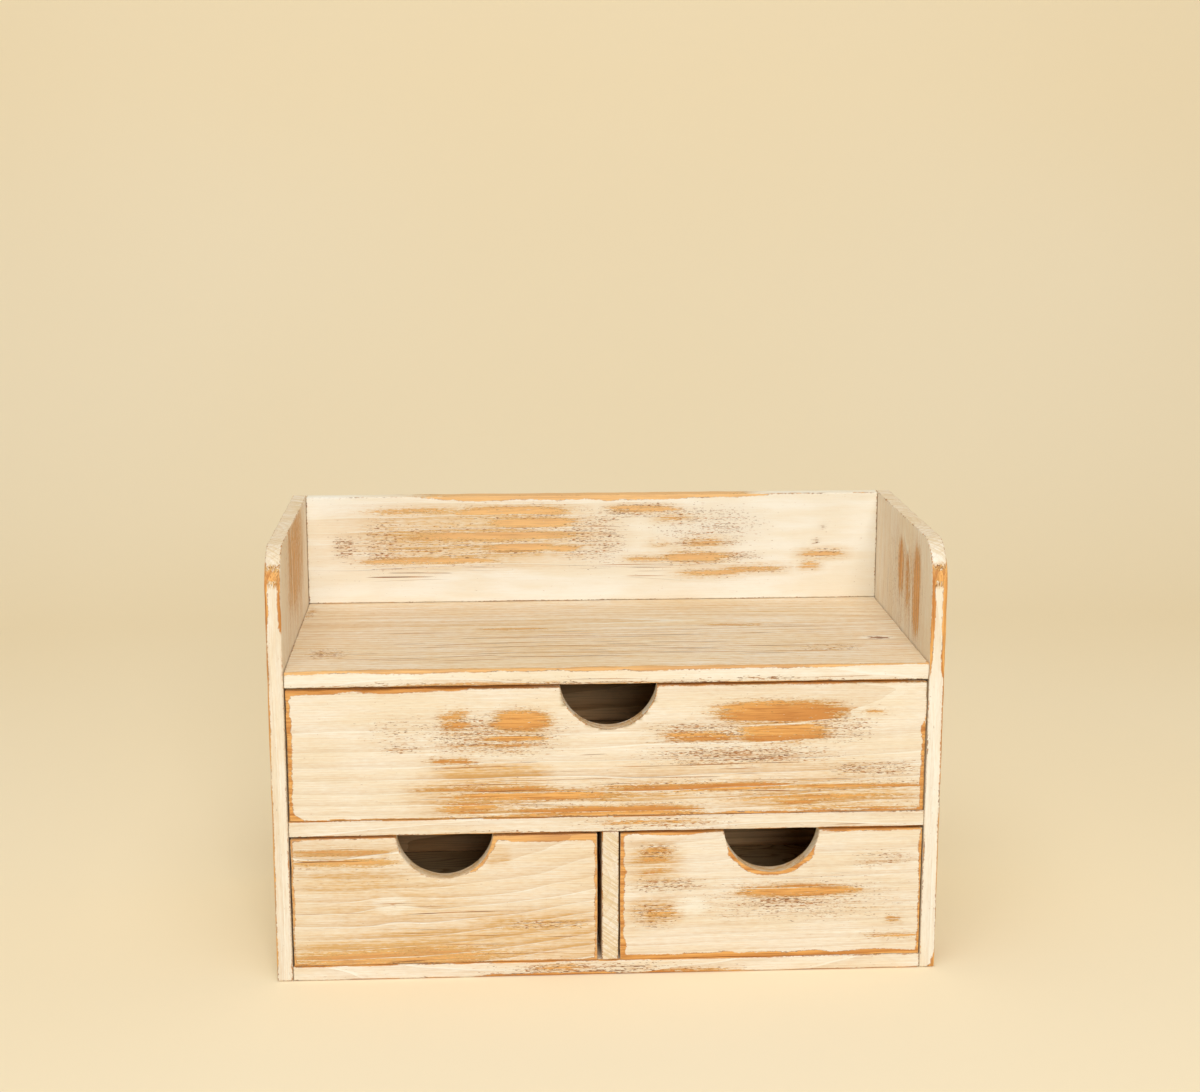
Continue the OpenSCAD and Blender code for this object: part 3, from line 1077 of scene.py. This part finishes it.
def cover_of_paint(add, here):
    brushed = add("MapRange", here.streaks(BRUSH, 2), 0.38, 0.62, 0.8, 1.12, **SOFT)
    thin = add("Math:MULTIPLY", here.thinness, brushed)
    over_late = add("MapRange", here.late, 0, 1, 0.85, 1.2)
    thin = add("Math:MULTIPLY", thin, over_late)
    uneven = add("Math:ADD", here.mottle, here.fibre)
    uneven = add("MapRange", uneven, 0.7, 1.3, -1, 1)
    how_uneven = add("Math:MULTIPLY_ADD", here.specks, 0.9, 0.22)
    how_uneven = add("Math:MULTIPLY_ADD", how_uneven, here.thinness, 0.06)
    thin = add("Math:MULTIPLY_ADD", uneven, how_uneven, thin)
    nearly_off = add("MapRange", here.lack, -0.4, 0, 0, 0.75)
    rubbing = add("MapRange", here.bare_share, 0, 0.4, 0, 1)
    thin = add("Math:MULTIPLY_ADD", nearly_off, rubbing, thin)
    cover = add("Math:SUBTRACT", 1, thin)
    ridges = add("MapRange", here.line_share, 0, 0.5, 0, 1)
    kept = add("Math:MULTIPLY", here.line, ridges)
    cover = add("Math:MULTIPLY_ADD", kept, 0.5, cover)
    knot_pad = add("MapRange", here.knot_distance, 3, 7, 0.3, 0, **SOFT)
    return add("Math:ADD", cover, knot_pad, use_clamp=True)


def painted_pine(add, here, wood):
    shade = add("MapRange", here.streaks(CLOUD, 2), 0.35, 0.65, 0, 1, **SOFT)
    tint = add("Mix", shade, PAINT, PAINT_SHADE, **COLOUR)
    dryness = add("Math:MULTIPLY", here.specks, 0.7)
    tint = add("Mix", dryness, tint, DRY_PAINT, **COLOUR)
    washed = add("Mix", 0.5, wood, WASHED_WOOD, **COLOUR)
    return add("Mix", cover_of_paint(add, here), washed, tint, **COLOUR)


print("the brush leaves streaks", BRUSH[1], "mm wide")

# %% [markdown]
# ### The sawn ends
#
# A board's end keeps the slanting scratches of the saw, and the paint is thin in them.

# %% Scratches of the saw
SAW_PITCH = 0.8  # mm between two scratches
SAW_LENGTH = 12.0  # mm
SAW_TILT = math.radians(35)
ALONG_ENDS = 50.0  # mm along the board over which the scratches stay the same


def scratched_ends(add, here, colour):
    tilted = {"Rotation": (SAW_TILT, 0, 0), "Scale": (ALONG_ENDS, SAW_PITCH, SAW_LENGTH)}
    turned = add("Mapping", here.grain, vector_type="TEXTURE", named=tilted)
    sawn = add("TexNoise", turned, 1, 1)
    scratch = add("MapRange", sawn, 0.45, 0.62, 0, 0.5, **SOFT)
    scratch = add("Math:MULTIPLY", scratch, here.end_grain)
    return add("Mix", scratch, colour, WASHED_WOOD, **COLOUR)


print("the saw left a scratch every", SAW_PITCH, "mm")

# %% [markdown]
# ### Dark wax and painted edge shadow
#
# Wax stays in chips, in long fine lines of the grain, in the hollow where a ring starts, and in
# the core of a knot. Along the paint's torn borders the dark line is wax and painted shadow.

# %% Wax
LINE_PITCH = 2.2  # mm between two places where a line of wax may lie
LINE_HALF_WIDTH = 0.17  # of the pitch, at its widest
LINE_WANDER = (220, 18)
LINE_LENGTHS = (75, 2.0)
BORDER_DARK_PATCH = (14, 2)


def waxed_lines(add, here):
    """Long fine lines along the grain, which wander a little and taper to nothing."""
    across = add("VectorMath:DOT_PRODUCT", here.grain, (0, 1, 1)).outputs["Value"]
    wander = add("MapRange", here.streaks(LINE_WANDER, 1), 0.3, 0.7, -1, 1)
    count = add("Math:MULTIPLY_ADD", across, 1 / LINE_PITCH, wander)
    phase = add("Math:FRACT", count)
    away = add("Math:SUBTRACT", phase, 0.5)
    away = add("Math:ABSOLUTE", away)
    needed = add("MapRange", here.line_share, 0.25, 1, 0.68, 0.45)
    present = add("Math:SUBTRACT", here.streaks(LINE_LENGTHS, 2), needed)
    width = add("MapRange", present, 0, LINE_HALF_WIDTH, 0, LINE_HALF_WIDTH)
    inside = add("Math:SUBTRACT", width, away)
    return add("MapRange", inside, 0, 0.06, 0, 1, **SOFT)


def wax_in_chips_and_borders_with_edge_shadow(add, here):
    """The chips of the dry brush, and the torn borders of the bare places."""
    chipped = add("MapRange", brushed_dry(add, here), 0, 0.05, 0, 1, **SOFT)
    chipped = add("Math:MULTIPLY", chipped, here.painted)
    near_lack = add("Math:ABSOLUTE", here.lack)
    near_reach = add("Math:ABSOLUTE", here.reach)
    # The dark line along a torn border is wax and painted shadow: the shade under the paint's
    # raised edge
    lack_border = add("MapRange", near_lack, 0, 0.07, 0.9, 0, **SOFT)
    reach_border = add("MapRange", near_reach, 0, 0.32, 1, 0, **SOFT)
    border = add("Math:MAXIMUM", lack_border, reach_border)
    border_dark_patches = add("MapRange", here.streaks(BORDER_DARK_PATCH, 2), 0.42, 0.6, 0.15, 0.95, **SOFT)
    border = add("Math:MULTIPLY", border, border_dark_patches)
    return add("Math:MAXIMUM", border, chipped)


def waxed_hollows(add, here):
    hollow = add("MapRange", here.line, 0.7, 1, 0, 0.8)
    in_hollow = add("MapRange", here.line_share, 0.4, 1, 0, 1)
    in_hollow = add("Math:MULTIPLY", in_hollow, here.painted)
    return add("Math:MULTIPLY", hollow, in_hollow)


def waxed_knot(add, here):
    core = add("MapRange", here.mottle, 0.3, 0.7, 0.4, 1.6)
    core = add("Math:MULTIPLY", core, here.core_radius)
    core = add("Math:SUBTRACT", core, here.knot_distance)
    return add("MapRange", core, 0, 1.6, 0, 0.95, **SOFT)


def dark_wax_and_edge_shadow(add, here):
    # Wax in chips, hollows, lines and knots, and painted shadow along the paint's torn borders
    dark = wax_in_chips_and_borders_with_edge_shadow(add, here)
    for place in (waxed_hollows, waxed_lines, waxed_knot):
        dark = add("Math:MAXIMUM", dark, place(add, here))
    return dark


def darkened_by_wax_and_edge_shadow(add, here, dark, colour):
    # Wax colours, which also paint the shadow along the torn borders
    tan_share = add("MapRange", here.blotch, 0.4, 0.6, 0, 1, **SOFT)
    wax_and_shadow_colour = add("Mix", tan_share, WAX_AND_EDGE_SHADOW_BROWN, WAX_AND_EDGE_SHADOW_TAN, **COLOUR)
    wax_and_shadow_share = add("Math:MULTIPLY", dark, 0.9)
    return add("Mix", wax_and_shadow_share, colour, wax_and_shadow_colour, **COLOUR)


print("a line of wax is at most", round(2 * LINE_HALF_WIDTH * LINE_PITCH, 2), "mm wide")

# %% [markdown]
# ### The whole finish
#
# Paint and late wood stand proud by a few hundredths of a millimetre, and wax lies in a hollow.

# %% Whitewashed pine
CHALK_TOOTH = 0.6  # mm, the paint's grit, twice as coarse as the real one
PAINT_ROUGH = 0.78
WOOD_ROUGH = 0.6


def whitewashed_pine():
    material, add = new_material("whitewashed_pine")
    here = painted_point(add)
    find_missing_paint(add, here)
    wood = bare_pine(add, here)
    colour = add("Mix", here.bare, painted_pine(add, here, wood), wood, **COLOUR)
    colour = scratched_ends(add, here, colour)
    # dark: wax, and painted shadow along the paint's torn borders
    dark = dark_wax_and_edge_shadow(add, here)
    colour = darkened_by_wax_and_edge_shadow(add, here, dark, colour)
    tooth = add("TexNoise", here.grain, 1 / CHALK_TOOTH, 2)
    # Heights in millimetres
    height = add("Math:MULTIPLY", here.bare, -0.04)
    height = add("Math:MULTIPLY_ADD", here.late, 0.03, height)
    height = add("Math:MULTIPLY_ADD", here.fibre, 0.03, height)
    height = add("Math:MULTIPLY_ADD", dark, -0.02, height)
    height = add("Math:MULTIPLY_ADD", tooth, 0.03, height)
    relief = add("Bump", named={"Height": height, "Distance": MM})
    rough = add("MapRange", here.bare, 0, 1, PAINT_ROUGH, WOOD_ROUGH)
    look = {"Base Color": colour, "Roughness": rough, "IOR": 1.5, "Normal": relief}
    return finished(material, add, look)


MATERIALS = {"whitewashed_pine": whitewashed_pine()}

# %% [markdown]
# ## The drawers' own wood
#
# The drawers' sides and backs are the same pine, unpainted and wiped with a thin tan stain that
# is darkest in the late wood.

# %% Stained pine
STAINED_EARLY = linear("#E6B883")
STAINED_LATE = linear("#B98B58")
STAINED_FIBRE = linear("#8A6238")
STAINED_BLOTCH = linear("#E4C394")
SAWN_FIBRE = (30, 0.6)
STAIN_PATCH = (60, 9)


def drawer_pine():
    material, add = new_material("drawer_pine")
    grain = add("Attribute", attribute_name="grain")
    late = year_rings(add, grain)[0]
    fibre = streaks(add, grain, SAWN_FIBRE)
    dark = add("MapRange", fibre, 0.45, 0.75, 0, 0.6, **SOFT)
    pale = add("MapRange", streaks(add, grain, STAIN_PATCH, 2), 0.4, 0.7, 0, 0.4, **SOFT)
    wood = add("Mix", late, STAINED_EARLY, STAINED_LATE, **COLOUR)
    wood = add("Mix", dark, wood, STAINED_FIBRE, **COLOUR)
    wood = add("Mix", pale, wood, STAINED_BLOTCH, **COLOUR)
    height = add("Math:MULTIPLY", late, 0.04)
    height = add("Math:MULTIPLY_ADD", fibre, 0.12, height)
    relief = add("Bump", named={"Height": height, "Distance": MM})
    look = {"Base Color": wood, "Roughness": 0.75, "IOR": 1.5, "Normal": relief}
    return finished(material, add, look)


MATERIALS["drawer_pine"] = drawer_pine()

# %% [markdown]
# ## Plywood
#
# Three sheets of veneer, one millimetre each. The faces show the wide wavy figure of wood
# peeled off a turning log, and the edges two pale lines with a darker one between them.

# %% Plywood
PLY_PALE = linear("#D9BC8E")
PLY_DARK = linear("#B08A58")
PLY_CORE = linear("#8C6A40")
PLY_MIDDLE = 1.5  # mm from the near face to the middle of the middle sheet
PEELED_WAVE = (160, 26)
VENEER_FIBRE = (14, 0.5)


def plywood():
    material, add = new_material("plywood")
    grain = add("Attribute", attribute_name="grain")
    through = add("SeparateXYZ", grain).outputs["Z"]
    waves = add("MapRange", streaks(add, grain, PEELED_WAVE, 1), 0.3, 0.7, 0, 9)
    phase = add("Math:FRACT", waves)
    late = add("MapRange", phase, 0.5, 1, 0, 1, **SOFT)
    fibre = streaks(add, grain, VENEER_FIBRE)
    fibre_share = add("MapRange", fibre, 0.45, 0.75, 0, 0.4, **SOFT)
    from_middle = add("Math:SUBTRACT", through, PLY_MIDDLE)
    from_middle = add("Math:ABSOLUTE", from_middle)
    core = add("MapRange", from_middle, 0.45, 0.55, 0.8, 0)
    wood = add("Mix", late, PLY_PALE, PLY_DARK, **COLOUR)
    wood = add("Mix", fibre_share, wood, PLY_DARK, **COLOUR)
    wood = add("Mix", core, wood, PLY_CORE, **COLOUR)
    relief = add("Bump", named={"Height": fibre, "Distance": 0.1 * MM})
    look = {"Base Color": wood, "Roughness": 0.7, "IOR": 1.5, "Normal": relief}
    return finished(material, add, look)


MATERIALS["plywood"] = plywood()

# %% [markdown]
# ## Nails
#
# Bright drawn steel wire that has dulled. It is a metal, so its colour is its reflection, and
# its roughness carries the age: fine drawing lines and dull spots.

# %% Nail steel
STEEL_BRIGHT = linear("#A9A69F")
STEEL_DULL = linear("#6E665B")
DULL_SPOT = 0.5 * MM
DRAWING_LINE = 0.12 * MM


def nail_steel():
    material, add = new_material("nail_steel")
    place = add("TexCoord").outputs["Object"]
    spots = add("TexNoise", place, 1 / DULL_SPOT, 3)
    lines = add("TexNoise", place, 1 / DRAWING_LINE, 1)
    dull = add("MapRange", spots, 0.45, 0.65, 0, 1, **SOFT)
    colour = add("Mix", dull, STEEL_BRIGHT, STEEL_DULL, **COLOUR)
    rough = add("MapRange", spots, 0.35, 0.65, 0.32, 0.58)
    relief = add("Bump", named={"Height": lines, "Strength": 0.4, "Distance": 0.02 * MM})
    look = {"Base Color": colour, "Metallic": 1, "Roughness": rough, "Normal": relief}
    return finished(material, add, look)


MATERIALS["nail_steel"] = nail_steel()

# %% [markdown]
# ## Putting the finishes on
#
# The record says which slot each piece belongs to.

# %% Finishes
for node, board in boards.items():
    board.data.materials.append(MATERIALS[SLOT_OF[node]])
for node in NAIL_NODES:
    frame["nodes"][node].data.materials.clear()
    frame["nodes"][node].data.materials.append(MATERIALS[SLOT_OF[node]])
print("finishes:", ", ".join(MATERIALS))
